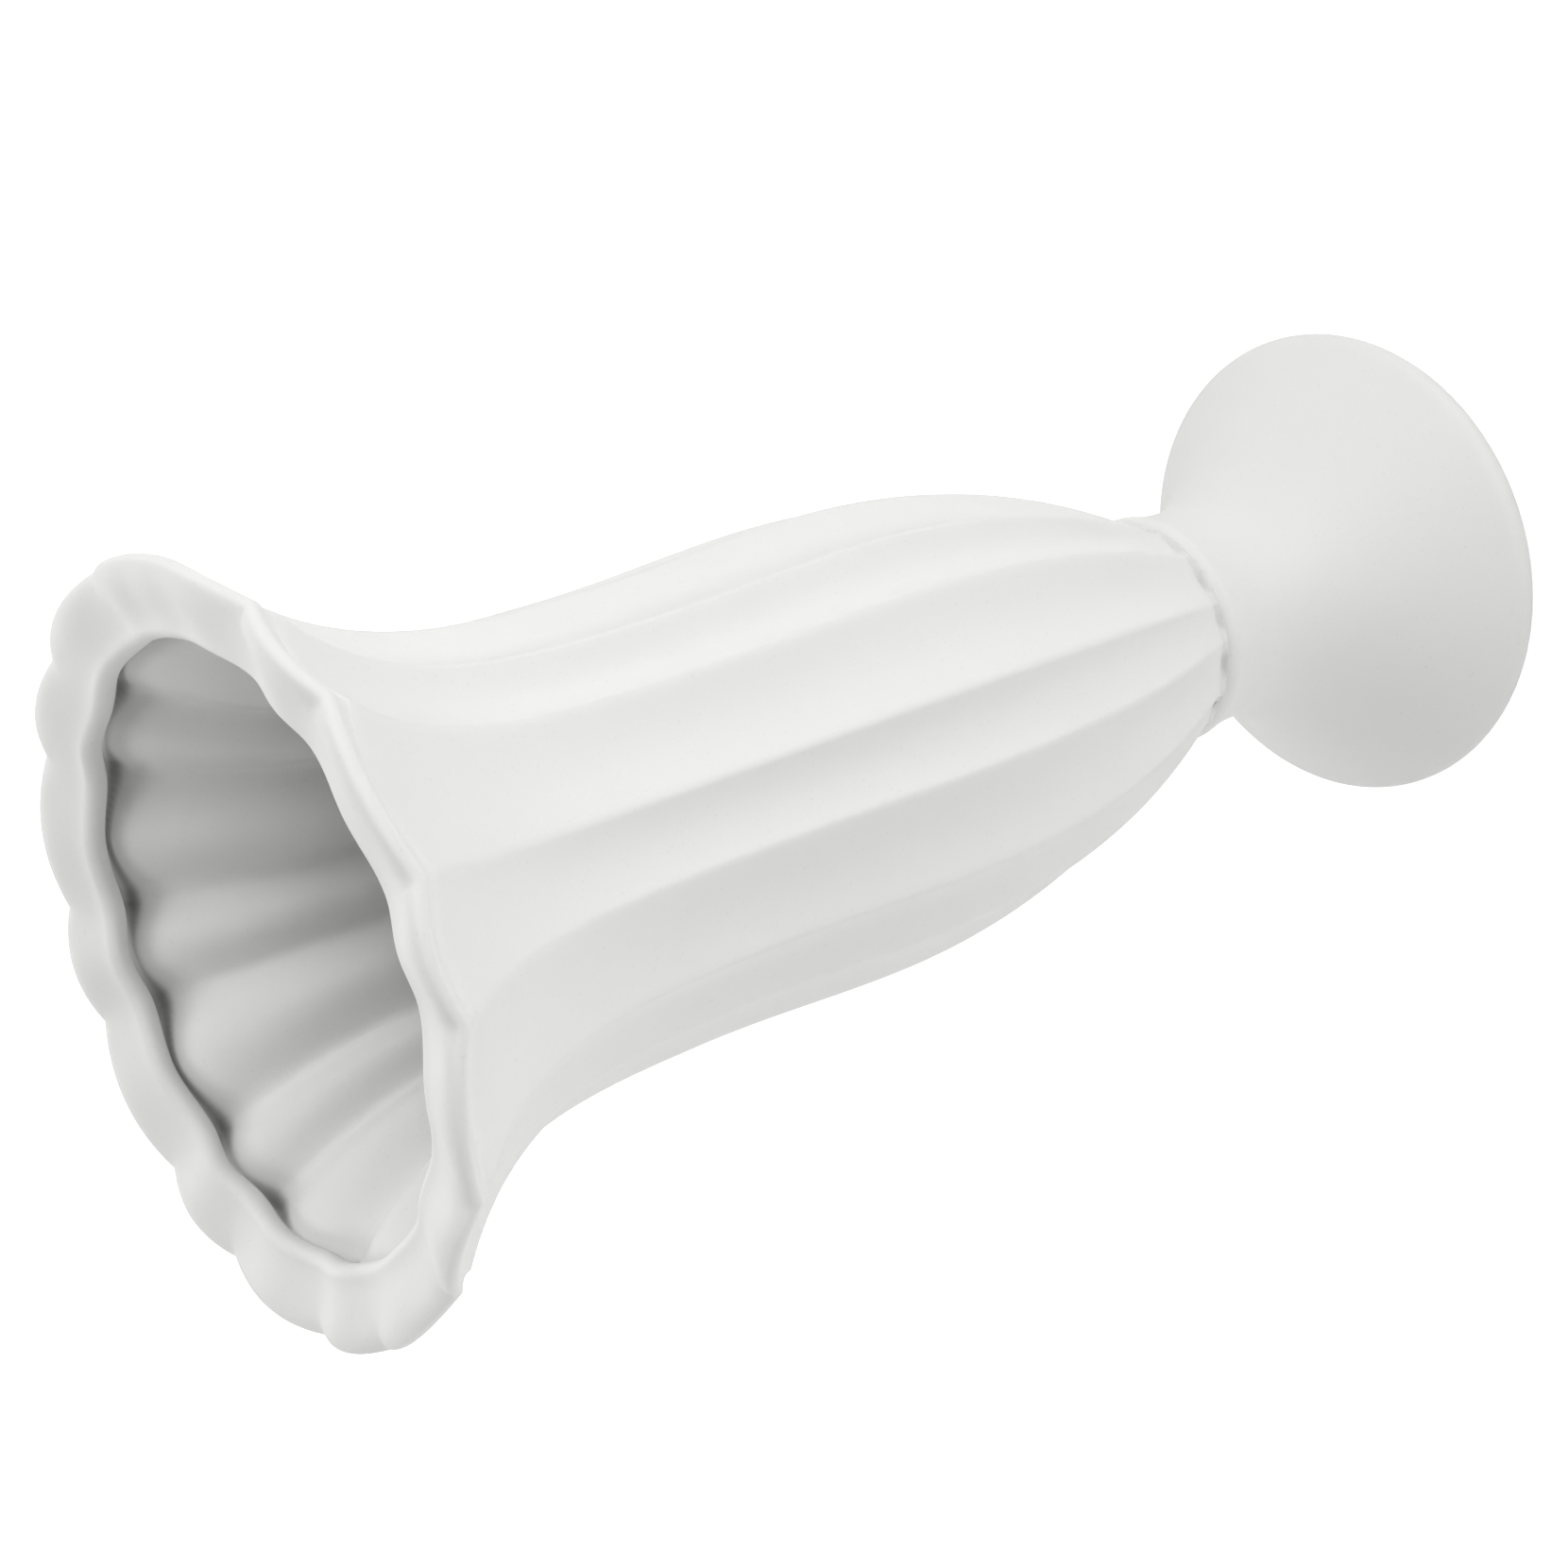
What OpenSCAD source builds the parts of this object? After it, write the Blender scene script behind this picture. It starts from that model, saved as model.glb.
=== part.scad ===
// Grave vase: a fluted trumpet body with a scalloped lip on a smooth hollow bell foot.
// Body and foot are separate castings, stuck together at the neck with luting slip.
// Millimetres, Z up. The origin is on the axis, in the plane that the vase stands on.

/* [Foot] */
// Widest diameter of the foot, across its rounded edge
foot_d = 76.5; // [68:0.5:90]
// Radius of the rounded edge of the foot
foot_edge_r = 3; // [2:0.1:3.6]
// Width of the flat ring that the foot stands on
standing_ring_w = 3; // [2:0.1:4]
// Height from the standing ring to the narrowest place of the neck
neck_z = 37.2; // [32:0.2:46]
// Narrowest diameter of the neck
neck_d = 34.2; // [31:0.2:40]
// Angle between the axis and the flare where it reaches the foot's edge
foot_flare_angle = 46; // [35:1:52]
// Wall thickness of the foot
foot_wall = 4.5; // [3.5:0.1:5.5]
// Height from the narrowest place of the neck to the top of the collar
collar_rise = 11.8; // [9:0.2:15]
// How far the collar bead stands out from the neck, on the radius
collar_out = 1.1; // [0.8:0.1:2]
// Height of the collar bead
collar_h = 4; // [3:0.1:5]
// Angle at which the neck runs into the collar bead
collar_join_angle = 15; // [10:1:30]

/* [Luting slip] */
// Thickness of the slip between the two castings
slip_t = 0.8; // [0.5:0.1:1.2]
// How far the slip stands back from the ridges at the body's lower end, on the radius
slip_setback = 0.6; // [0.5:0.1:1.4]
// Radius of the largest crumb of squeezed-out slip
crumb_r = 0.5; // [0.3:0.05:0.5]

/* [Body] */
// How far the ridges at the body's lower end stand back from the collar, on the radius
base_setback = 0.4; // [0.2:0.1:0.8]
// Radius of the body's rounded lower edge
base_edge_r = 1; // [0.5:0.1:1.5]
// Angle between the axis and the ridges at the lower end of the body
base_angle = 27; // [15:1:40]
// Height from the lower end of the body to the belly
belly_rise = 63; // [50:1:80]
// Diameter over the ridges at the belly
belly_d = 66.4; // [58:0.2:76]
// Height from the belly to the waist
waist_rise = 37; // [28:1:50]
// Diameter over the ridges at the waist
waist_d = 63.4; // [56:0.2:70]
// Height from the waist to the shoulder under the lip
flare_rise = 53.8; // [42:0.2:70]
// Diameter over the ridges at the shoulder under the lip
flare_d = 97.2; // [86:0.2:104]
// How late the flare opens: 2 is even, 4 is late and sudden
flare_power = 3.3; // [2.4:0.1:4]
// Wall thickness of the body at the ridges, which is its thinnest
body_wall = 2.4; // [2.2:0.1:3]
// Thickness of the body's floor
floor_t = 5; // [3:0.1:8]
// Radius between the floor and the wall, inside
floor_fillet_r = 4; // [2:0.5:6]
// Length of the boss under the floor, which centres the body in the foot
boss_h = 4; // [2:0.5:8]
// Gap between the boss and the throat of the foot, on the radius
boss_gap = 0.4; // [0.2:0.1:0.8]

/* [Flutes] */
// Number of pairs of flutes, each pair one wide and one narrow
flute_pairs = 8; // [6:1:10]
// Share of a pair that the wide flute takes
wide_share = 0.58; // [0.5:0.01:0.62]
// Depth of a wide flute under its ridges
wide_depth = 2.5; // [1:0.1:3]
// Depth of a narrow flute under its ridges
narrow_depth = 2; // [0.8:0.1:2.6]
// Height over which the flutes get shallow under the lip
runout_h = 9; // [6:0.5:14]
// Height over which the flutes get shallow towards the body's lower end
base_runout_h = 20; // [12:1:30]

/* [Lip] */
// Diameter of the mouth, over the lip's outer edge
mouth_d = 101.8; // [90:0.2:112]
// Height from the shoulder to the notches of the lip
lip_h = 4.2; // [3.8:0.1:5.5]
// How far the middle of a petal rises above the notches
petal_rise = 1.8; // [0.5:0.1:3]
// Width of the lip's upper face, on the radius
lip_w = 10.8; // [9:0.2:13]
// How far the lip's inner edge lies below the notches
lip_drop = 1; // [0.6:0.1:2]
// Radius of the lip's rounded outer edge, which overhangs the groove above the shoulder
lip_edge_r = 1.1; // [0.8:0.1:1.3]
// Thickness of the lip at its rounded inner edge
lip_t = 3.2; // [2.8:0.1:3.8]
// How far the pocket under the lip reaches out at the ridges, past the lip's inner edge
pocket_w = 4.6; // [3.8:0.1:4.8]
// How far the pocket reaches out over the lobes, between the ridges
lobe_pocket_w = 2; // [1.8:0.1:2.6]
// Height of the pocket at the ridges
pocket_h = 3.6; // [3:0.1:4.2]
// Least wall between the pocket and the outside, on the radius
pocket_wall = 2.2; // [2:0.1:2.8]

/* [Hidden] */

// Facets of the round solids
round_facets = 96;
crumb_facets = 24;
// Columns of points across one flute, and points along each stretch of a section
flute_steps = 6;
flare_steps = 24;
wall_steps = 22;
side_steps = 4;
pocket_steps = 5;
inner_steps = 12;
face_steps = 5;
arc_steps = 5;
short_arc_steps = 3;
edge_steps = 2;

// Softness of a ridge's crest, outside and inside, as a share of the flute's depth
crest_soft_share = 0.14;
inner_soft_share = 0.5;
// Depth of the lobes inside, as a share of the flutes' depth outside
lobe_share = 1.58;
// Shares of the flutes' depth that are left at the shoulder under the lip and at the lower end
shoulder_depth_share = 0.45;
base_depth_share = 0.35;
// Share of the petals' rise that is left at the lip's inner edge
inner_rise_share = 0.5;
// Share of the flare's height over which the petals begin to rise
rise_start_share = 0.33;
// Share of the upper face over which the creases between the petals get soft
crease_share = 0.5;
// Share of the way down the pocket at which its wall starts to come in, and the share of the
// pocket's height that is left over the lobes
pocket_start_share = 0.5;
pocket_lobe_share = 0.15;
// Powers that crowd the rings of points towards the lip
wall_power = 1.5;
inner_power = 1.3;
// Turns of the lip's outer edge from its widest place: down under the overhang, and up to the
// crowned face
overhang_angle = 60;
crown_angle = 65;

// Crumbs of slip: the pair of flutes that each is in, counted from +X, and its size share
crumb_pair_shares = [[4.54, 1], [4.46, 0.75], [2.02, 0.6], [6.97, 0.65]];
// How far a crumb's centre lies outside the slip's rim, as a share of its radius
crumb_out_share = 0.5;

// Heights, from the standing ring up
foot_h = neck_z + collar_rise;
base_z = foot_h + slip_t;
belly_z = base_z + belly_rise;
waist_z = belly_z + waist_rise;
shoulder_z = waist_z + flare_rise;
notch_z = shoulder_z + lip_h;
edge_z = notch_z - lip_edge_r;
face_z = notch_z - lip_drop;
pocket_z = face_z - lip_t;
floor_z = base_z + floor_t;

// Radii
foot_r = foot_d / 2;
neck_r = neck_d / 2;
collar_r = neck_r + collar_out;
throat_r = neck_r - foot_wall;
base_r = collar_r - base_setback;
belly_r = belly_d / 2;
waist_r = waist_d / 2;
flare_end_r = flare_d / 2;
mouth_r = mouth_d / 2;
boss_r = throat_r - boss_gap;
slip_r = base_r - slip_setback;
lip_inner_r = mouth_r - lip_w;
pocket_r = lip_inner_r + pocket_w;
lobe_pocket_r = lip_inner_r + lobe_pocket_w;

// Curve from a to b with the given end slopes, for t from 0 to 1
function curve(a, b, slope_a, slope_b, t) =
    a * (2 * pow(t, 3) - 3 * pow(t, 2) + 1) + slope_a * (pow(t, 3) - 2 * pow(t, 2) + t)
    + b * (3 * pow(t, 2) - 2 * pow(t, 3)) + slope_b * (pow(t, 3) - pow(t, 2));
// Soft step from 0 to 1
function soft_step(t) = let (c = min(1, max(0, t))) c * c * (3 - 2 * c);
function blend(a, b, t) = a + (b - a) * t;
// Arc of a section: centre and radius, then its first and last angle
function arc(r, z, radius, first, last, steps) =
    [for (k = [0 : steps])
     let (a = blend(first, last, k / steps)) [r + radius * cos(a), z + radius * sin(a)]];

// Radius over the ridges at a height of the body
function crest_r(z) =
    z < belly_z
        ? curve(base_r, belly_r, belly_rise * tan(base_angle), 0, (z - base_z) / belly_rise)
    : z < waist_z
        ? curve(belly_r, waist_r, 0, 0, (z - belly_z) / waist_rise)
        : blend(waist_r, flare_end_r, pow((z - waist_z) / flare_rise, flare_power));
// Angle between the axis and the ridges at a height of the body
function crest_angle(z) =
    let (d = flare_rise / 100) atan((crest_r(z + d) - crest_r(z - d)) / (2 * d));

// Columns of points round the body: each pair of flutes is centred on its wide one
columns = flute_pairs * 2 * flute_steps;
pair_angle = 360 / flute_pairs;
function is_wide(i) = floor(i / flute_steps) % 2 == 0;
function across(i) = (i % flute_steps) / flute_steps;
function column_angle(i) =
    let (pair = floor(i / (2 * flute_steps)), u = across(i))
    pair_angle * (pair + (is_wide(i) ? wide_share * (u - 0.5)
                                     : wide_share / 2 + (1 - wide_share) * u));
function column_depth(i) = is_wide(i) ? wide_depth : narrow_depth;
// Petals of the lip: 0 in the notches and 1 in the middle, with sharp and with soft notches
function petal(i) = 1 - pow(2 * across(i) - 1, 2);
function soft_petal(i) = pow(sin(180 * across(i)), 2);
// Hollow of a flute: 0 on the ridges and 1 in the middle, with a rounded crest
function hollow(i, soft) =
    (sqrt(pow(petal(i), 2) + soft * soft) - soft) / (sqrt(1 + soft * soft) - soft);

// How much of the petals' rise is reached at height z, and of the flutes' depth is left
function rise_at(z) =
    petal_rise * soft_step(1 - (shoulder_z - z) / (rise_start_share * flare_rise));
function depth_left(z) =
    blend(shoulder_depth_share, 1, soft_step((shoulder_z - z) / runout_h))
    * blend(base_depth_share, 1, soft_step((z - base_z) / base_runout_h));

function outer_r(i, z) =
    crest_r(z) - column_depth(i) * hollow(i, crest_soft_share) * depth_left(z);
// The inner wall runs parallel to the outer one, with deeper lobes
function inner_r(i, z) =
    crest_r(z) - body_wall / cos(crest_angle(z))
    - lobe_share * column_depth(i) * hollow(i, inner_soft_share);

// Stretches of the body's section at column i, as [radius, height] points
function base_edge(i) =
    let (z = base_z + base_edge_r)
    arc(outer_r(i, z) - base_edge_r, z, base_edge_r, -90, 0, short_arc_steps);
function outer_wall(i) =
    [for (k = [1 : wall_steps])
     let (t = 1 - pow(1 - k / wall_steps, wall_power),
          z = blend(base_z + base_edge_r, shoulder_z, t))
     [outer_r(i, z), z + rise_at(z) * petal(i)]];
function lip_edge(i) =
    let (r = mouth_r - lip_edge_r,
         under = arc(r, edge_z, lip_edge_r, -overhang_angle, 0, edge_steps),
         over = arc(r, edge_z, lip_edge_r, 0, crown_angle, edge_steps))
    [for (k = [0 : 2 * edge_steps])
     (k < edge_steps ? under[k] : over[k - edge_steps]) + [0, petal_rise * petal(i)]];
// The groove rises steeply from the shoulder and turns out under the lip's edge
function groove(i) =
    let (low = outer_wall(i)[wall_steps - 1], high = lip_edge(i)[0],
         slope = (high[1] - low[1]) * tan(overhang_angle))
    [for (k = [1 : side_steps - 1])
     let (t = k / side_steps)
     [curve(low[0], high[0], 0, slope, t), blend(low[1], high[1], t)]];
// The upper face is crowned, and its petals are lower and softer at the lip's inner edge
function lip_face(i) =
    let (high = lip_edge(i)[2 * edge_steps], low = lip_inner_edge(i)[0],
         crown = (high[0] - low[0]) / tan(crown_angle))
    [for (k = [1 : face_steps - 1])
     let (t = k / face_steps,
          shape = blend(petal(i), soft_petal(i), soft_step(t / crease_share)),
          rise = petal_rise * blend(1, inner_rise_share, t))
     [blend(high[0], low[0], t),
      curve(high[1] - petal_rise * petal(i), face_z, crown, 0, t) + rise * shape]];
// The lip's inner edge rises and falls with the petals
function inner_rise(i) = petal_rise * inner_rise_share * soft_petal(i);
function lip_inner_edge(i) =
    [for (p = arc(lip_inner_r + lip_t / 2, face_z - lip_t / 2, lip_t / 2, 90, 270, arc_steps))
     p + [0, inner_rise(i)]];
// Under the lip is a pocket, high and deep at the ridges and almost closed over the lobes
function pocket(i) =
    let (deep = blend(pocket_r, lobe_pocket_r, petal(i)),
         end = blend(1, pocket_lobe_share, petal(i)))
    [for (k = [0 : pocket_steps - 1])
     let (t = k / pocket_steps,
          z = pocket_z + blend(inner_rise(i), -pocket_h, t),
          wall = min(deep, crest_r(z) - pocket_wall),
          come_in = soft_step((t / end - pocket_start_share) / (1 - pocket_start_share)))
     [blend(wall, inner_r(i, z), come_in), z]];
function inner_wall(i) =
    [for (k = [0 : inner_steps])
     let (z = blend(pocket_z - pocket_h, floor_z + floor_fillet_r,
                    pow(k / inner_steps, inner_power)))
     [inner_r(i, z), z]];
function floor_edge(i) =
    let (z = floor_z + floor_fillet_r, r = inner_r(i, z))
    arc(r - floor_fillet_r, z, floor_fillet_r, 0, -90, short_arc_steps);
function section(i) =
    concat([[boss_r, base_z - boss_h], [boss_r, base_z]], base_edge(i), outer_wall(i),
           groove(i), lip_edge(i), lip_face(i), lip_inner_edge(i), pocket(i), inner_wall(i),
           [for (k = [1 : short_arc_steps]) floor_edge(i)[k]]);

// The body's skin joins the sections of all its columns, from the boss to the floor inside
module fluted_body() {
    sections = [for (i = [0 : columns - 1]) section(i)];
    rings = len(sections[0]);
    skin = [for (k = [0 : rings - 1]) for (i = [0 : columns - 1])
            let (p = sections[i][k], a = column_angle(i)) [p[0] * cos(a), p[0] * sin(a), p[1]]];
    boss_centre = rings * columns;
    floor_centre = boss_centre + 1;
    top_ring = (rings - 1) * columns;
    boss_face = [for (i = [0 : columns - 1]) [boss_centre, i, (i + 1) % columns]];
    floor_face = [for (i = [0 : columns - 1])
                  [floor_centre, top_ring + (i + 1) % columns, top_ring + i]];
    walls = [for (k = [0 : rings - 2]) for (i = [0 : columns - 1])
             let (a = k * columns + i, b = k * columns + (i + 1) % columns)
             each [[a, a + columns, b + columns], [a, b + columns, b]]];
    color([0.92, 0.92, 0.91])
    polyhedron(concat(skin, [[0, 0, base_z - boss_h], [0, 0, floor_z]]),
               concat(boss_face, floor_face, walls));
}

// Half section of the foot as [radius, height] points
foot_edge = arc(foot_r - foot_edge_r, foot_edge_r, foot_edge_r, -90, foot_flare_angle, arc_steps);
flare_end = foot_edge[arc_steps];
flare_h = neck_z - flare_end[1];
function flare_r(t) = curve(flare_end[0], neck_r, -flare_h * tan(foot_flare_angle), 0, t);
function flare_z(t) = blend(flare_end[1], neck_z, t);
function flare_wall(t) =
    let (d = 0.5 / flare_steps, rise = flare_z(t + d) - flare_z(t - d))
    foot_wall / cos(atan((flare_r(min(1, t + d)) - flare_r(t - d)) / rise));
flare = [for (k = [1 : flare_steps]) let (t = k / flare_steps) [flare_r(t), flare_z(t)]];
flare_hollow = [for (k = [flare_steps : -1 : 0])
                let (t = k / flare_steps) [flare_r(t) - flare_wall(t), flare_z(t)]];
bead_r = collar_h / 2;
bead = arc(collar_r - bead_r, foot_h - bead_r, bead_r, -collar_join_angle, 90, 2 * arc_steps);
neck_h = bead[0][1] - neck_z;
neck = [for (k = [1 : arc_steps])
        let (t = k / (arc_steps + 1))
        [curve(neck_r, bead[0][0], 0, neck_h * tan(collar_join_angle), t),
         blend(neck_z, bead[0][1], t)]];
ring_inner_r = foot_r - foot_edge_r - standing_ring_w;

module bell_foot() {
    color([0.91, 0.91, 0.90])
    rotate_extrude($fn = round_facets)
    polygon(concat(foot_edge, flare, neck, bead, [[throat_r, foot_h]], flare_hollow,
                   [[ring_inner_r, 0]]));
}

// The slip is a thin ring with a rounded rim, with crumbs squeezed out in some flutes
module luting_slip() {
    rim = arc(slip_r - slip_t / 2, foot_h + slip_t / 2, slip_t / 2, -90, 90, arc_steps);
    color([0.88, 0.88, 0.87]) union() {
        rotate_extrude($fn = round_facets)
        polygon(concat([[throat_r, foot_h]], rim, [[throat_r, base_z]]));
        for (crumb = crumb_pair_shares) {
            size = crumb_r * crumb[1];
            rotate([0, 0, crumb[0] * pair_angle])
            translate([slip_r + crumb_out_share * size, 0, foot_h + size])
            sphere(r = size, $fn = crumb_facets);
        }
    }
}

fluted_body();
bell_foot();
luting_slip();
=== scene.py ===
import math

import bpy
import numpy as np
from mathutils import Matrix, Vector


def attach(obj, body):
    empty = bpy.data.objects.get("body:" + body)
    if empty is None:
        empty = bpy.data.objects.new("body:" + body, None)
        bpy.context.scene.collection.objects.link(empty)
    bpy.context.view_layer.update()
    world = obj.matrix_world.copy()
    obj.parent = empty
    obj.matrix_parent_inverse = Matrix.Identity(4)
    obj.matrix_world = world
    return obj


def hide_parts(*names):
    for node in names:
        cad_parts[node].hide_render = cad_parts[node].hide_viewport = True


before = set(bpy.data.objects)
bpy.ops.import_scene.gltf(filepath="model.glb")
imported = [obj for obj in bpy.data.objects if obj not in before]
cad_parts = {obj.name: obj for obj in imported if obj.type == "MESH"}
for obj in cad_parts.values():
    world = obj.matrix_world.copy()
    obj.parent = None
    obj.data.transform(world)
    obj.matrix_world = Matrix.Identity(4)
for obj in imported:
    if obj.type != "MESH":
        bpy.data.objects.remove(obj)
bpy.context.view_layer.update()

# The vase in metres, in the frame of its CAD solids. A wide flute is centred on +X.
MM = 0.001

# The bell foot and the collar at its top
FOOT_R, FOOT_EDGE_R, STANDING_RING_W = 38.25 * MM, 3 * MM, 3 * MM
NECK_Z, NECK_R, FOOT_FLARE, FOOT_WALL = 37.2 * MM, 17.1 * MM, math.radians(46), 4.5 * MM
FOOT_H, COLLAR_OUT, BEAD_R, COLLAR_JOIN = 49 * MM, 1.1 * MM, 2 * MM, math.radians(15)

# The body's line over its ridges, from the base to the notches between the lip's petals
BASE_Z, BASE_R, BASE_EDGE_R, BASE_ANGLE = 49.8 * MM, 17.8 * MM, 1 * MM, math.radians(27)
BELLY_Z, BELLY_R = 112.8 * MM, 33.2 * MM
WAIST_Z, WAIST_R = 149.8 * MM, 31.7 * MM
SHOULDER_Z, SHOULDER_R, FLARE_POWER = 203.6 * MM, 48.6 * MM, 3.3
NOTCH_Z, MOUTH_R = 207.8 * MM, 50.9 * MM

# The body's wall, its floor and the boss below it
BODY_WALL, FLOOR_T, FLOOR_FILLET_R = 2.4 * MM, 5 * MM, 4 * MM
BOSS_H, BOSS_R = 4 * MM, 12.2 * MM

# The pairs of a wide and a narrow flute: how deep they are, how they run out at both ends, how soft
# their crests are outside and inside, and how much deeper the lobes inside are
PAIRS, WIDE_SHARE = 8, 0.58
WIDE_DEPTH, NARROW_DEPTH, LOBE_SHARE = 2.5 * MM, 2 * MM, 1.58
RUNOUT_H, BASE_RUNOUT_H, SHOULDER_DEPTH_SHARE, BASE_DEPTH_SHARE = 9 * MM, 20 * MM, 0.45, 0.35
CREST_SOFT, INNER_SOFT = 0.14, 0.5

# The lip: the overhang and the crown are angles in degrees. The petals begin to rise on the flare
# and are lower at the lip's inner edge, where their creases have ended.
PETAL_RISE, LIP_W, LIP_DROP, LIP_EDGE_R, LIP_T = 1.8 * MM, 10.8 * MM, 1 * MM, 1.1 * MM, 3.2 * MM
OVERHANG, CROWN = 60, 65
RISE_SHARE, INNER_RISE_SHARE, CREASE_SHARE = 0.33, 0.5, 0.5

# The pocket under the lip, inside, and where it comes in to the wall at the ridges and over the lobes
POCKET_W, LOBE_POCKET_W, POCKET_H, POCKET_WALL = 4.6 * MM, 2 * MM, 3.6 * MM, 2.2 * MM
POCKET_START_SHARE, POCKET_LOBE_SHARE = 0.5, 0.15

# Two of the lip's petals have run together: where their crease is, how wide and how far it is filled
WORN_CREASE, WORN_SPREAD, WORN_FILL = math.radians(328.05), math.radians(8), 0.9

# The slip's fillet at the joint: where it meets the body and the collar, how far it dips in the flutes
# as a share of their depth, how far it bulges at the ridges, and how uneven it is
SLIP_TOP_Z, SLIP_LAP, SLIP_FOOT_R = 50.6 * MM, 0.02 * MM, 17.5 * MM
SLIP_DIP_SHARE, SLIP_BULGE, SLIP_UNEVEN = 0.5, 0.3 * MM, 0.05 * MM

# The slip's crumbs, each as a place counted in pairs of flutes and a share of the largest one's size,
# and how far they stand out of the fillet as a share of their size
SLIP_SETBACK, CRUMB_R, CRUMB_OUT_SHARE = 0.6 * MM, 0.5 * MM, 0.5
CRUMBS = ((4.54, 1), (4.46, 0.75), (2.02, 0.6), (6.97, 0.65))

# Fineness of the visible meshes
FLUTE_STEPS, ROUND_COLUMNS, ARC_RINGS = 20, 192, 9
WALL_RINGS, GROOVE_RINGS, FACE_RINGS, POCKET_RINGS, INNER_RINGS = 110, 14, 24, 20, 60
FOOT_EDGE_RINGS, FOOT_FLARE_RINGS, NECK_RINGS, BEAD_RINGS = 14, 70, 12, 20
SLIP_RINGS, CRUMB_ROWS, CRUMB_COLUMNS = 16, 14, 24

# Painted shade darkens the colour under the lip, towards this azimuth and above this height, in
# crevices of this width
PAINTED_SHADE_SIDE, PAINTED_SHADE_Z, NO_PAINTED_SHADE_Z = math.radians(40), 201 * MM, 1
CREVICE_W, CREVICE_SAMPLES = 8 * MM, 8

# The photograph's camera, found from the vase's outline. It is rolled, so the vase seems to lie.
# The lens and the sensor are in millimetres.
CAMERA_PLACE = Vector((-0.080087, -0.299874, 0.340293))
CAMERA_AIM = Vector((-0.002611, 0.000673, 0.122604))
CAMERA_ROLL = math.radians(-110.1235)
CAMERA_LENS, SENSOR_W = 62.246, 36
CAMERA_NEAR, CAMERA_FAR = 0.01, 20

# The floor, and the place that all lamps are turned to
FLOOR_HALF_W, FLOOR_GLOW = 2.5, 0.7
LAMP_AIM = Vector((0, 0, 0.12))

# Places worked out from the sizes above
FLARE_START_R = FOOT_R - FOOT_EDGE_R * (1 - math.cos(FOOT_FLARE))
FLARE_START_Z = FOOT_EDGE_R * (1 + math.sin(FOOT_FLARE))
FLARE_H = NECK_Z - FLARE_START_Z
THROAT_R = NECK_R - FOOT_WALL
BEAD_CENTRE_R, BEAD_CENTRE_Z = NECK_R + COLLAR_OUT - BEAD_R, FOOT_H - BEAD_R
SLIP_R = BASE_R - SLIP_SETBACK
EDGE_Z = NOTCH_Z - LIP_EDGE_R
FACE_Z = NOTCH_Z - LIP_DROP
POCKET_Z = FACE_Z - LIP_T
LIP_INNER_R = MOUTH_R - LIP_W
POCKET_R, LOBE_POCKET_R = LIP_INNER_R + POCKET_W, LIP_INNER_R + LOBE_POCKET_W


def curve(a, b, slope_a, slope_b, t):
    """Smooth curve from a to b with the given end slopes, for t from 0 to 1."""
    return (a * (2 * t**3 - 3 * t**2 + 1) + slope_a * (t**3 - 2 * t**2 + t)
            + b * (3 * t**2 - 2 * t**3) + slope_b * (t**3 - t**2))


def soft_step(t):
    """From 0 to 1 with soft ends, for t from 0 to 1."""
    t = np.clip(t, 0, 1)
    return t * t * (3 - 2 * t)


def blend(a, b, t):
    return a + (b - a) * t


def arc(r, z, radius, first, last, steps):
    """Points of an arc in a section, as (radius, height) pairs. The angles are in degrees."""
    angles = np.radians(np.linspace(first, last, steps + 1))
    return [(r + radius * math.cos(a), z + radius * math.sin(a)) for a in angles]


def crest_r(z):
    """Radius over the ridges at a height of the body."""
    rise = BELLY_Z - BASE_Z
    low = curve(BASE_R, BELLY_R, rise * math.tan(BASE_ANGLE), 0, (z - BASE_Z) / rise)
    middle = curve(BELLY_R, WAIST_R, 0, 0, (z - BELLY_Z) / (WAIST_Z - BELLY_Z))
    opening = np.maximum(0, (z - WAIST_Z) / (SHOULDER_Z - WAIST_Z)) ** FLARE_POWER
    high = blend(WAIST_R, SHOULDER_R, opening)
    return np.where(z < BELLY_Z, low, np.where(z < WAIST_Z, middle, high))


def crest_angle(z):
    """How far the line over the ridges leans outwards at a height."""
    near = 0.5 * MM
    return np.arctan((crest_r(z + near) - crest_r(z - near)) / (2 * near))


class Columns:
    """The columns of points round the body: angles, flute depths and shapes across a flute.

    The petals are round with sharp creases. The soft petals have soft creases.
    """

    def __init__(self, steps):
        i = np.arange(PAIRS * 2 * steps)
        u = (i % steps) / steps
        wide = (i // steps) % 2 == 0
        offset = np.where(wide, WIDE_SHARE * (u - 0.5), WIDE_SHARE / 2 + (1 - WIDE_SHARE) * u)
        self.angle = 2 * math.pi / PAIRS * (i // (2 * steps) + offset)
        self.depth = np.where(wide, WIDE_DEPTH, NARROW_DEPTH)
        self.petal = 1 - (2 * u - 1) ** 2
        self.mid_flute = np.sin(math.pi * u) ** 2
        self.lip_petal = self.fill_worn_crease(self.petal)
        self.soft_petal = self.fill_worn_crease(self.mid_flute)

    def fill_worn_crease(self, petal):
        gap = (self.angle - WORN_CREASE + math.pi) % (2 * math.pi) - math.pi
        return petal + (1 - petal) * WORN_FILL * np.exp(-(gap / WORN_SPREAD) ** 2)

    def hollow(self, soft):
        """The flute's hollow, from 0 on the ridges to 1 in its middle."""
        bowl = np.sqrt(self.petal**2 + soft * soft) - soft
        return bowl / (math.sqrt(1 + soft * soft) - soft)


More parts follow.
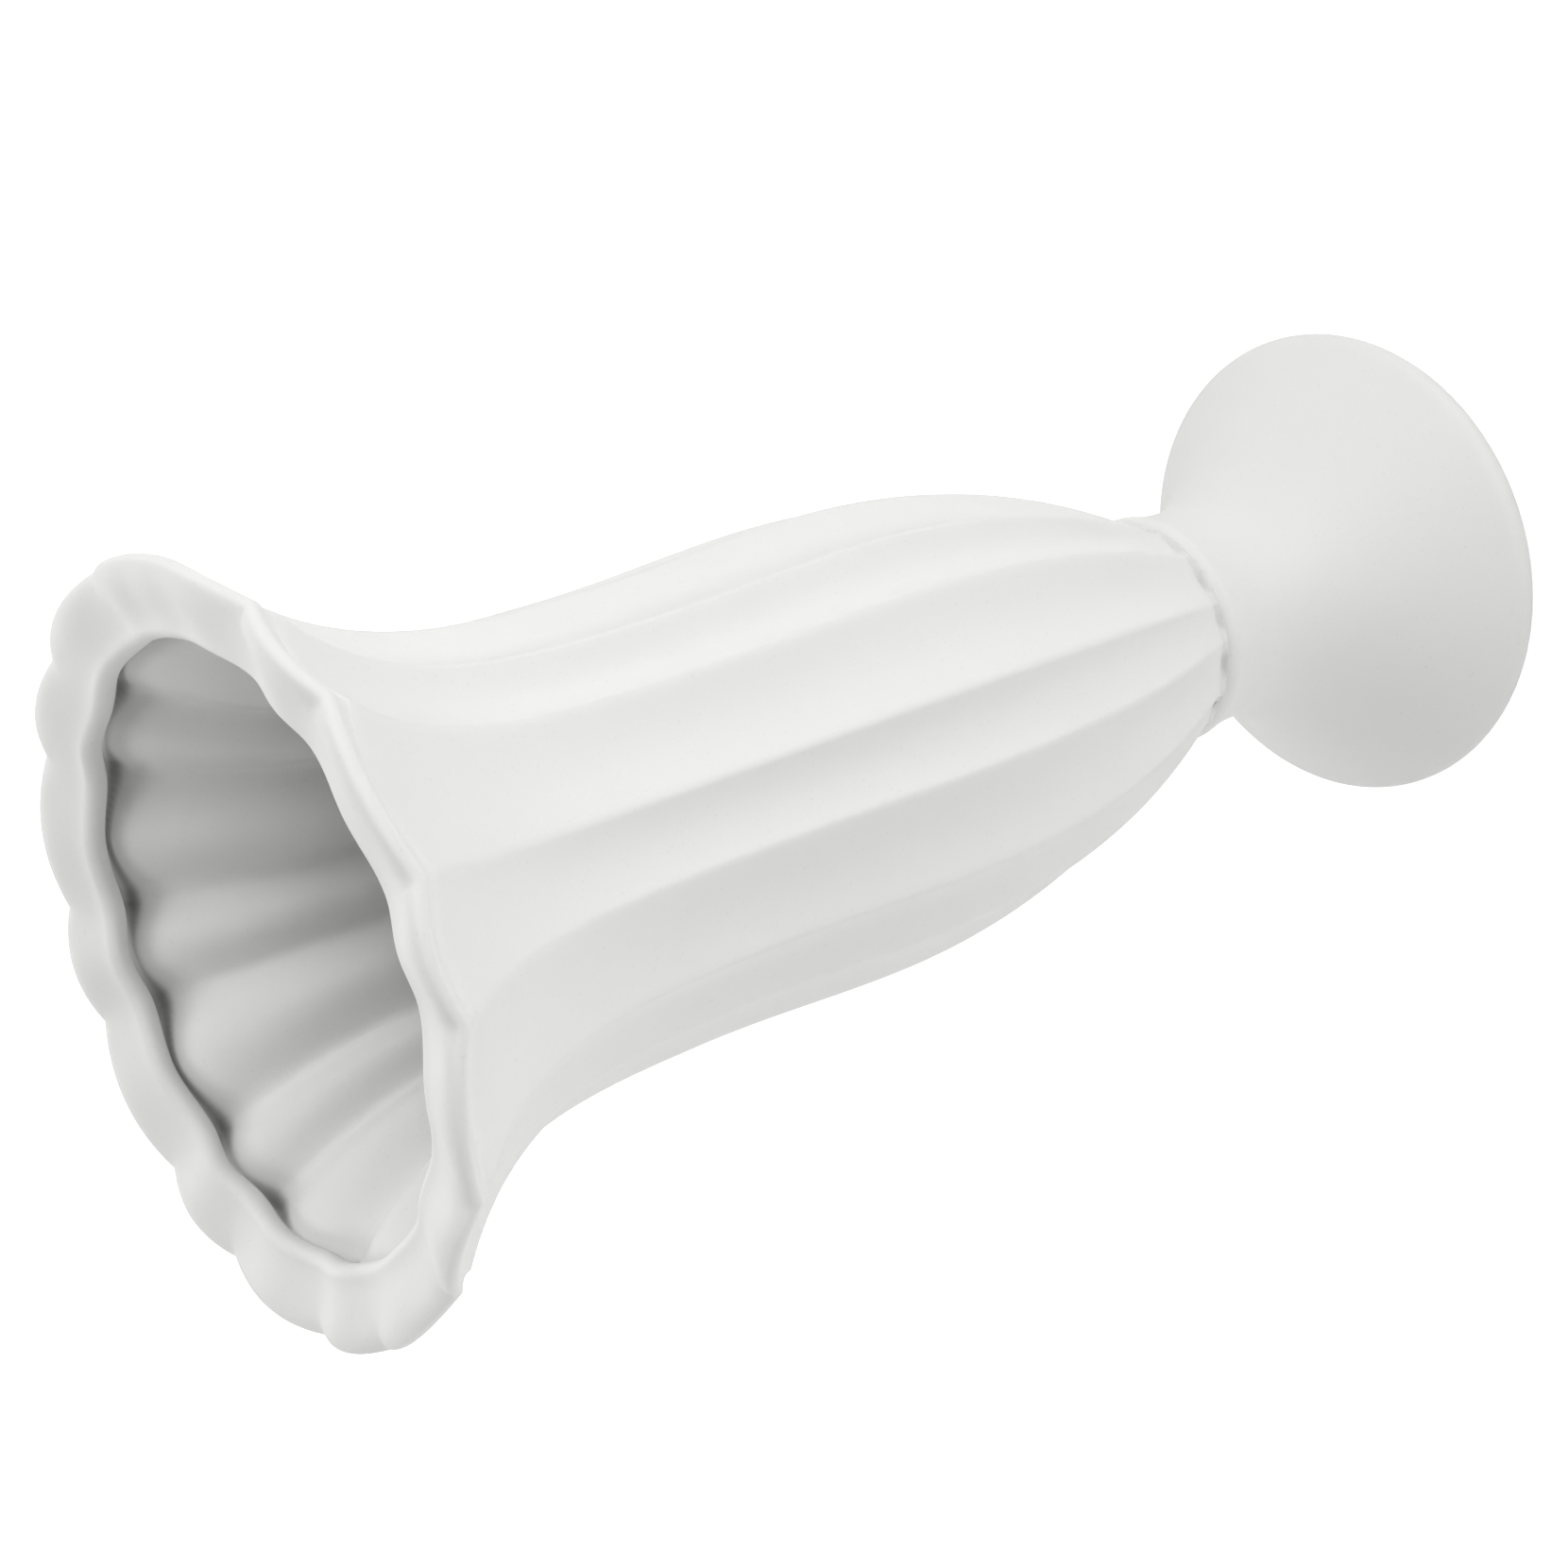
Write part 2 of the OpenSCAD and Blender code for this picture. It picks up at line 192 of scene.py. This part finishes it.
def outer_r(col, z):
    """The outer wall, hollowed by the flutes, which are shallow at the shoulder and the base."""
    left_high = blend(SHOULDER_DEPTH_SHARE, 1, soft_step((SHOULDER_Z - z) / RUNOUT_H))
    left_low = blend(BASE_DEPTH_SHARE, 1, soft_step((z - BASE_Z) / BASE_RUNOUT_H))
    return crest_r(z) - col.depth * col.hollow(CREST_SOFT) * left_high * left_low


def inner_r(col, z):
    """The inner wall follows the line over the ridges, with lobes behind the flutes."""
    wall = BODY_WALL / np.cos(crest_angle(z))
    return crest_r(z) - wall - LOBE_SHARE * col.depth * col.hollow(INNER_SOFT)


def rise_at(z):
    """How much of the petals' rise is reached at a height of the outer side."""
    return PETAL_RISE * soft_step(1 - (SHOULDER_Z - z) / (RISE_SHARE * (SHOULDER_Z - WAIST_Z)))


def inner_rise(col):
    """The petals' rise along the lip's inner edge."""
    return PETAL_RISE * INNER_RISE_SHARE * col.soft_petal


def outside_rings(col):
    """The skin's rings from the boss up to the shoulder under the lip."""
    flat = np.zeros_like(col.angle)
    low_z = BASE_Z + BASE_EDGE_R
    rings = [(flat + BOSS_R, flat + BASE_Z - BOSS_H), (flat + BOSS_R, flat + BASE_Z)]
    for r, z in arc(-BASE_EDGE_R, low_z, BASE_EDGE_R, -90, 0, ARC_RINGS):
        rings.append((outer_r(col, low_z) + r, flat + z))
    for z in np.linspace(low_z, SHOULDER_Z, WALL_RINGS + 1)[1:]:
        rings.append((outer_r(col, z), z + rise_at(z) * col.petal))
    return rings


def lip_edge(col):
    """The lip's rounded outer edge, from under its overhang up to the face."""
    turn = arc(MOUTH_R - LIP_EDGE_R, EDGE_Z, LIP_EDGE_R, -OVERHANG, CROWN, ARC_RINGS)
    return [(r + 0 * col.lip_petal, z + PETAL_RISE * col.lip_petal) for r, z in turn]


def lip_inner_edge(col):
    """The lip's rounded inner edge, which rises and falls with the petals."""
    turn = arc(LIP_INNER_R + LIP_T / 2, FACE_Z - LIP_T / 2, LIP_T / 2, 90, 270, 2 * ARC_RINGS)
    return [(r + 0 * col.petal, z + inner_rise(col)) for r, z in turn]


def groove(low, high):
    """The groove under the lip rises steeply from the shoulder and turns out to the lip's edge."""
    slope = (high[1] - low[1]) * math.tan(math.radians(OVERHANG))
    steps = np.linspace(0, 1, GROOVE_RINGS + 1)[1:-1]
    return [(curve(low[0], high[0], 0, slope, t), blend(low[1], high[1], t)) for t in steps]


def lip_face(col, high, low):
    """The upper face is crowned. Its petals are lower, and their creases soft, at its inner edge."""
    crown = (high[0] - low[0]) / math.tan(math.radians(CROWN))
    rings = []
    for t in np.linspace(0, 1, FACE_RINGS + 1)[1:-1]:
        shape = blend(col.lip_petal, col.soft_petal, soft_step(t / CREASE_SHARE))
        rise = PETAL_RISE * blend(1, INNER_RISE_SHARE, t)
        level = curve(high[1] - PETAL_RISE * col.lip_petal, FACE_Z, crown, 0, t)
        rings.append((blend(high[0], low[0], t), level + rise * shape))
    return rings


def inside_rings(col):
    """The skin's rings from the pocket under the lip down to the floor."""
    flat = np.zeros_like(col.angle)
    deep = blend(POCKET_R, LOBE_POCKET_R, col.petal)
    end = blend(1, POCKET_LOBE_SHARE, col.petal)
    rings = []
    for t in np.linspace(0, 1, POCKET_RINGS + 1)[:-1]:
        z = POCKET_Z + blend(inner_rise(col), -POCKET_H, t)
        wall = np.minimum(deep, crest_r(z) - POCKET_WALL)
        come_in = soft_step((t / end - POCKET_START_SHARE) / (1 - POCKET_START_SHARE))
        rings.append((blend(wall, inner_r(col, z), come_in), z))
    fillet_z = BASE_Z + FLOOR_T + FLOOR_FILLET_R
    for z in np.linspace(POCKET_Z - POCKET_H, fillet_z, INNER_RINGS + 1):
        rings.append((inner_r(col, z), flat + z))
    for r, z in arc(-FLOOR_FILLET_R, fillet_z, FLOOR_FILLET_R, 0, -90, ARC_RINGS)[1:]:
        rings.append((inner_r(col, fillet_z) + r, flat + z))
    return rings


def body_rings(col):
    """The body's skin as rings of (radius, height) arrays, from the boss to the floor inside."""
    outside, edge, inner_edge = outside_rings(col), lip_edge(col), lip_inner_edge(col)
    lip = groove(outside[-1], edge[0]) + edge + lip_face(col, edge[-1], inner_edge[0]) + inner_edge
    return outside + lip + inside_rings(col)


def flare_r(t):
    """The foot's outer radius, from its rounded edge at 0 to the neck at 1."""
    return curve(FLARE_START_R, NECK_R, -FLARE_H * math.tan(FOOT_FLARE), 0, t)


def neck_section(bead_r, bead_z):
    """From the neck up to the start of the collar's bead."""
    slope = (bead_z - NECK_Z) * math.tan(COLLAR_JOIN)
    steps = np.linspace(0, 1, NECK_RINGS + 1)[1:-1]
    return [(curve(NECK_R, bead_r, 0, slope, t), blend(NECK_Z, bead_z, t)) for t in steps]


def foot_section():
    """The foot's section as (radius, height) pairs, from the standing ring round to the hollow."""
    edge_r = FOOT_R - FOOT_EDGE_R
    edge = arc(edge_r, FOOT_EDGE_R, FOOT_EDGE_R, -90, math.degrees(FOOT_FLARE), FOOT_EDGE_RINGS)
    flare, hollow = [], []
    near = 0.5 / FOOT_FLARE_RINGS
    for t in np.linspace(0, 1, FOOT_FLARE_RINGS + 1):
        slope = (flare_r(min(1, t + near)) - flare_r(t - near)) / (2 * near * FLARE_H)
        z = blend(FLARE_START_Z, NECK_Z, t)
        flare.append((flare_r(t), z))
        hollow.append((flare_r(t) - FOOT_WALL / math.cos(math.atan(slope)), z))
    bead = arc(BEAD_CENTRE_R, BEAD_CENTRE_Z, BEAD_R, -math.degrees(COLLAR_JOIN), 90, BEAD_RINGS)
    outside = edge + flare[1:] + neck_section(*bead[0]) + bead
    return outside + [(THROAT_R, FOOT_H)] + hollow[::-1] + [(edge_r - STANDING_RING_W, 0)]


def slip_rings(col):
    """A fillet of slip from the collar's bead up the body's lower edge, which dips in the flutes."""
    flat = np.zeros_like(col.angle)
    wall_r = outer_r(col, SLIP_TOP_Z) + SLIP_LAP
    foot_z = BEAD_CENTRE_Z + math.sqrt(BEAD_R**2 - (SLIP_FOOT_R - BEAD_CENTRE_R) ** 2)
    uneven = SLIP_UNEVEN * (np.sin(11 * col.angle + 0.4) + 0.6 * np.sin(29 * col.angle))
    dip = blend(-SLIP_BULGE, SLIP_DIP_SHARE * col.depth, col.mid_flute) + uneven
    rings = [(flat + THROAT_R, flat + FOOT_H)]
    for t in np.linspace(0, 1, SLIP_RINGS + 1):
        r = blend(SLIP_FOOT_R, wall_r, t) - dip * math.sin(math.pi * t)
        rings.append((r, blend(foot_z, SLIP_TOP_Z, t)))
    return rings + [(flat + THROAT_R, flat + BASE_Z)]


def lumps(way, pair):
    """How lumpy a crumb is in each direction. Every crumb has lumps of its own, from its place."""
    x, y, z = way.T
    return 0.88 + 0.07 * np.sin(5 * x + 9 * pair) + 0.05 * np.sin(7 * y - 4 * z)


def crumb_skin(pair, share, skin, first):
    """A lumpy crumb of squeezed-out slip on the fillet's skin: points, and faces counted from first."""
    size, turn = CRUMB_R * share, 2 * math.pi / PAIRS * pair
    outward = np.array([math.cos(turn), math.sin(turn), 0])
    place = SLIP_R * outward + [0, 0, FOOT_H + size]
    seat = skin[np.argmin(np.linalg.norm(skin - place, axis=1))]
    centre = seat + CRUMB_OUT_SHARE * size * outward
    around = np.arange(CRUMB_COLUMNS) * 2 * math.pi / CRUMB_COLUMNS
    points = []
    for up in np.linspace(-math.pi / 2, math.pi / 2, CRUMB_ROWS + 1):
        level = np.full(CRUMB_COLUMNS, math.sin(up))
        way = np.stack([math.cos(up) * np.cos(around), math.cos(up) * np.sin(around), level], axis=1)
        points.append(centre + size * lumps(way, pair)[:, None] * way)
    faces = [[first + i for i in face] for face in ring_faces(CRUMB_ROWS + 1, CRUMB_COLUMNS, False)]
    return np.concatenate(points), faces


def ring_points(rings, angle):
    """Points of a skin from its rings of (radius, height)."""
    points = []
    for r, z in rings:
        r, z = np.broadcast_to(r, angle.shape), np.broadcast_to(z, angle.shape)
        points.append(np.stack([r * np.cos(angle), r * np.sin(angle), z], axis=1))
    return np.concatenate(points)


def ring_faces(rings, columns, closed):
    """Quads between neighbouring rings, and between the last and the first if closed."""
    faces = []
    for k in range(rings if closed else rings - 1):
        low, high = k * columns, (k + 1) % rings * columns
        for i in range(columns):
            j = (i + 1) % columns
            faces.append((low + i, low + j, high + j, high + i))
    return faces


def add_mesh(name, points, faces, material, node):
    mesh = bpy.data.meshes.new(name)
    mesh.from_pydata(points.tolist(), [], faces)
    mesh.validate()
    mesh.materials.append(material)
    mesh.shade_smooth()
    piece = bpy.data.objects.new(name, mesh)
    bpy.context.scene.collection.objects.link(piece)
    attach(piece, "root")
    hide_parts(node)


def make_body(material):
    """The fluted body: one skin of rings, closed by a cap under the boss and one on the floor."""
    col = Columns(FLUTE_STEPS)
    rings = body_rings(col)
    columns = len(col.angle)
    points = ring_points(rings, col.angle)
    faces = ring_faces(len(rings), columns, False)
    last_ring = (len(rings) - 1) * columns
    caps = [[0, 0, BASE_Z - BOSS_H], [0, 0, BASE_Z + FLOOR_T]]
    low_cap, high_cap = len(points), len(points) + 1
    for i in range(columns):
        j = (i + 1) % columns
        faces.append((low_cap, j, i))
        faces.append((high_cap, last_ring + i, last_ring + j))
    add_mesh("body", np.concatenate([points, caps]), faces, material, "fluted_body")


def make_foot(material):
    """The bell foot: its section turned round the vase's axis."""
    angle = np.arange(ROUND_COLUMNS) * 2 * math.pi / ROUND_COLUMNS
    section = foot_section()
    faces = ring_faces(len(section), ROUND_COLUMNS, True)
    add_mesh("foot", ring_points(section, angle), faces, material, "bell_foot")


def make_slip(material):
    """The ring of slip, a little uneven from squeezing out, with its crumbs."""
    col = Columns(FLUTE_STEPS)
    rings = slip_rings(col)
    skin = ring_points(rings, col.angle)
    points, faces = [skin], ring_faces(len(rings), len(col.angle), True)
    for pair, share in CRUMBS:
        more, more_faces = crumb_skin(pair, share, skin, sum(len(p) for p in points))
        points.append(more)
        faces += more_faces
    add_mesh("slip", np.concatenate(points), faces, material, "luting_slip")


class Wiring:
    """A new material with its nodes, and short ways to add and link more of them."""

    def __init__(self, name):
        self.material = bpy.data.materials.new(name)
        self.material.use_nodes = True
        self.nodes, self.links = self.material.node_tree.nodes, self.material.node_tree.links
        self.shader = self.nodes["Principled BSDF"]
        self.place = self.nodes.new("ShaderNodeTexCoord").outputs["Object"]

    def noise(self, scale, detail):
        node = self.nodes.new("ShaderNodeTexNoise")
        node.inputs["Scale"].default_value = scale
        node.inputs["Detail"].default_value = detail
        self.links.new(self.place, node.inputs["Vector"])
        return node.outputs["Fac"]

    def spread(self, value, start, end):
        """The value moved from the range start to the range end, and kept inside it."""
        node = self.nodes.new("ShaderNodeMapRange")
        self.links.new(value, node.inputs["Value"])
        for key, number in zip(("From Min", "From Max", "To Min", "To Max"), start + end):
            node.inputs[key].default_value = number
        return node.outputs["Result"]

    def combine(self, operation, a, b):
        node = self.nodes.new("ShaderNodeMath")
        node.operation = operation
        self.links.new(a, node.inputs[0])
        self.links.new(b, node.inputs[1])
        return node.outputs["Value"]

    def scaled(self, value, level):
        node = self.nodes.new("ShaderNodeMath")
        node.operation = "MULTIPLY"
        node.inputs[1].default_value = level
        self.links.new(value, node.inputs[0])
        return node.outputs["Value"]

    def bump(self, height, strength, distance):
        node = self.nodes.new("ShaderNodeBump")
        node.inputs["Strength"].default_value = strength
        node.inputs["Distance"].default_value = distance
        self.links.new(height, node.inputs["Height"])
        return node


def left_by_painted_shade(wiring, shade_above_z):
    """The share of the colour that the painted shade leaves: all of it in the open, and little in
    crevices, as if shadowed.

    The painted shade lies only above the given height and towards the given side.
    """
    crevice = wiring.nodes.new("ShaderNodeAmbientOcclusion")
    crevice.samples = CREVICE_SAMPLES
    crevice.inputs["Distance"].default_value = CREVICE_W
    height = wiring.nodes.new("ShaderNodeSeparateXYZ")
    wiring.links.new(wiring.place, height.inputs["Vector"])
    across = wiring.nodes.new("ShaderNodeVectorMath")
    across.operation = "DOT_PRODUCT"
    wiring.links.new(wiring.place, across.inputs[0])
    across.inputs[1].default_value = (math.cos(PAINTED_SHADE_SIDE), math.sin(PAINTED_SHADE_SIDE), 0)
    below = wiring.spread(height.outputs["Z"], start=(shade_above_z - 10 * MM, shade_above_z), end=(1, 0))
    beside = wiring.spread(across.outputs["Value"], start=(-2 * MM, 8 * MM), end=(1, 0))
    # Painted shade: the colour is darkened where ambient occlusion finds a crevice.
    in_open = wiring.spread(crevice.outputs["AO"], start=(0.2, 0.62), end=(0.2, 1))
    return wiring.combine("MAXIMUM", wiring.combine("MAXIMUM", below, beside), in_open)


def bisque(name, tone, shade_above_z=NO_PAINTED_SHADE_Z):
    """Unglazed white ceramic: faint clouding, fine pores, painted shade in crevices, and a dry,
    slightly uneven skin.
    """
    wiring = Wiring(name)
    links, shader = wiring.links, wiring.shader
    clouds = wiring.spread(wiring.noise(scale=28, detail=3), start=(0.3, 0.7), end=(0.985, 1))
    pores = wiring.spread(wiring.noise(scale=1900, detail=2), start=(0.64, 0.76), end=(1, 0.94))
    skin_tone = wiring.combine("MULTIPLY", clouds, pores)
    # The painted shade darkens the colour in crevices.
    value = wiring.combine("MULTIPLY", skin_tone, left_by_painted_shade(wiring, shade_above_z))
    colour = wiring.nodes.new("ShaderNodeCombineColor")
    for channel, level in zip(("Red", "Green", "Blue"), tone):
        links.new(wiring.scaled(value, level), colour.inputs[channel])
    links.new(colour.outputs["Color"], shader.inputs["Base Color"])
    dryness = wiring.spread(wiring.noise(scale=160, detail=4), start=(0.3, 0.7), end=(0.62, 0.78))
    links.new(dryness, shader.inputs["Roughness"])
    shader.inputs["Specular IOR Level"].default_value = 0.35
    grain = wiring.bump(wiring.noise(scale=2600, detail=3), strength=0.12, distance=0.06 * MM)
    waves = wiring.bump(wiring.noise(scale=90, detail=2), strength=0.25, distance=0.4 * MM)
    links.new(waves.outputs["Normal"], grain.inputs["Normal"])
    links.new(grain.outputs["Normal"], shader.inputs["Normal"])
    return wiring.material


def floor_paper():
    """Pale matte paper that glows to the camera, so that it is seen as white where it is lit."""
    material = bpy.data.materials.new("floor_paper")
    material.use_nodes = True
    nodes, links = material.node_tree.nodes, material.node_tree.links
    shader = nodes["Principled BSDF"]
    shader.inputs["Base Color"].default_value = (0.86, 0.86, 0.86, 1)
    shader.inputs["Roughness"].default_value = 0.9
    glow = nodes.new("ShaderNodeEmission")
    glow.inputs["Strength"].default_value = FLOOR_GLOW
    both = nodes.new("ShaderNodeAddShader")
    mix = nodes.new("ShaderNodeMixShader")
    path = nodes.new("ShaderNodeLightPath")
    links.new(shader.outputs["BSDF"], both.inputs[0])
    links.new(glow.outputs["Emission"], both.inputs[1])
    links.new(path.outputs["Is Camera Ray"], mix.inputs["Fac"])
    links.new(shader.outputs["BSDF"], mix.inputs[1])
    links.new(both.outputs["Shader"], mix.inputs[2])
    links.new(mix.outputs["Shader"], nodes["Material Output"].inputs["Surface"])
    return material


def make_floor():
    """The floor that the vase stands on, which keeps its soft shadow."""
    corners = [(FLOOR_HALF_W * x, FLOOR_HALF_W * y, 0) for x, y in ((-1, -1), (1, -1), (1, 1), (-1, 1))]
    mesh = bpy.data.meshes.new("floor")
    mesh.from_pydata(corners, [], [(0, 1, 2, 3)])
    mesh.materials.append(floor_paper())
    floor = bpy.data.objects.new("floor", mesh)
    bpy.context.scene.collection.objects.link(floor)


def make_world():
    """White to the camera, and dark to the vase, which only the lamps light."""
    world = bpy.data.worlds.new("studio")
    bpy.context.scene.world = world
    world.use_nodes = True
    nodes, links = world.node_tree.nodes, world.node_tree.links
    dark, white = nodes["Background"], nodes.new("ShaderNodeBackground")
    dark.inputs["Strength"].default_value = 0
    white.inputs["Color"].default_value = (1, 1, 1, 1)
    mix = nodes.new("ShaderNodeMixShader")
    path = nodes.new("ShaderNodeLightPath")
    links.new(path.outputs["Is Camera Ray"], mix.inputs["Fac"])
    links.new(dark.outputs["Background"], mix.inputs[1])
    links.new(white.outputs["Background"], mix.inputs[2])
    links.new(mix.outputs["Shader"], nodes["World Output"].inputs["Surface"])


def turned_to(direction):
    """The turn of a lamp or a camera that looks along a direction."""
    return direction.to_track_quat("-Z", "Y")


def add_light(name, azimuth, distance, height, size, watts):
    """A rectangular lamp, placed by its azimuth and its distance from the vase's axis."""
    light = bpy.data.lights.new(name, "AREA")
    light.shape = "RECTANGLE"
    light.size, light.size_y = size
    light.energy = watts
    lamp = bpy.data.objects.new(name, light)
    a = math.radians(azimuth)
    lamp.location = (distance * math.cos(a), distance * math.sin(a), height)
    lamp.rotation_euler = turned_to(LAMP_AIM - lamp.location).to_euler()
    bpy.context.scene.collection.objects.link(lamp)


def make_camera():
    data = bpy.data.cameras.new("camera")
    data.sensor_width, data.lens = SENSOR_W, CAMERA_LENS
    data.clip_start, data.clip_end = CAMERA_NEAR, CAMERA_FAR
    camera = bpy.data.objects.new("camera", data)
    level = turned_to(CAMERA_AIM - CAMERA_PLACE).to_matrix()
    turn = level @ Matrix.Rotation(CAMERA_ROLL, 3, "Z")
    camera.matrix_world = Matrix.Translation(CAMERA_PLACE) @ turn.to_4x4()
    bpy.context.scene.collection.objects.link(camera)
    bpy.context.scene.camera = camera


make_camera()
# The body's colour carries painted shade in the crevices under the lip.
make_body(bisque("body_bisque", tone=(0.80, 0.80, 0.79), shade_above_z=PAINTED_SHADE_Z))
make_foot(bisque("foot_bisque", tone=(0.79, 0.79, 0.78)))
make_slip(bisque("slip_bisque", tone=(0.74, 0.74, 0.73)))
make_floor()
make_world()
add_light("key", azimuth=-47, distance=0.9, height=0.35, size=(0.9, 0.6), watts=2.0)
add_light("high_key", azimuth=-47, distance=0.8, height=0.8, size=(0.5, 0.5), watts=2.6)
add_light("bounce", azimuth=133, distance=0.9, height=0.3, size=(0.9, 0.5), watts=3.6)
add_light("low", azimuth=-90, distance=1, height=0.06, size=(0.9, 0.1), watts=3.1)
add_light("side", azimuth=-160, distance=0.9, height=0.35, size=(0.6, 0.6), watts=2.7)
add_light("back", azimuth=60, distance=0.9, height=0.6, size=(0.8, 0.8), watts=4.9)
add_light("top_right", azimuth=-14, distance=0.7, height=0.9, size=(0.5, 0.5), watts=2.5)
add_light("overhead", azimuth=0, distance=0.05, height=1.3, size=(0.4, 0.4), watts=3.2)
bpy.context.scene.view_settings.view_transform = "Standard"
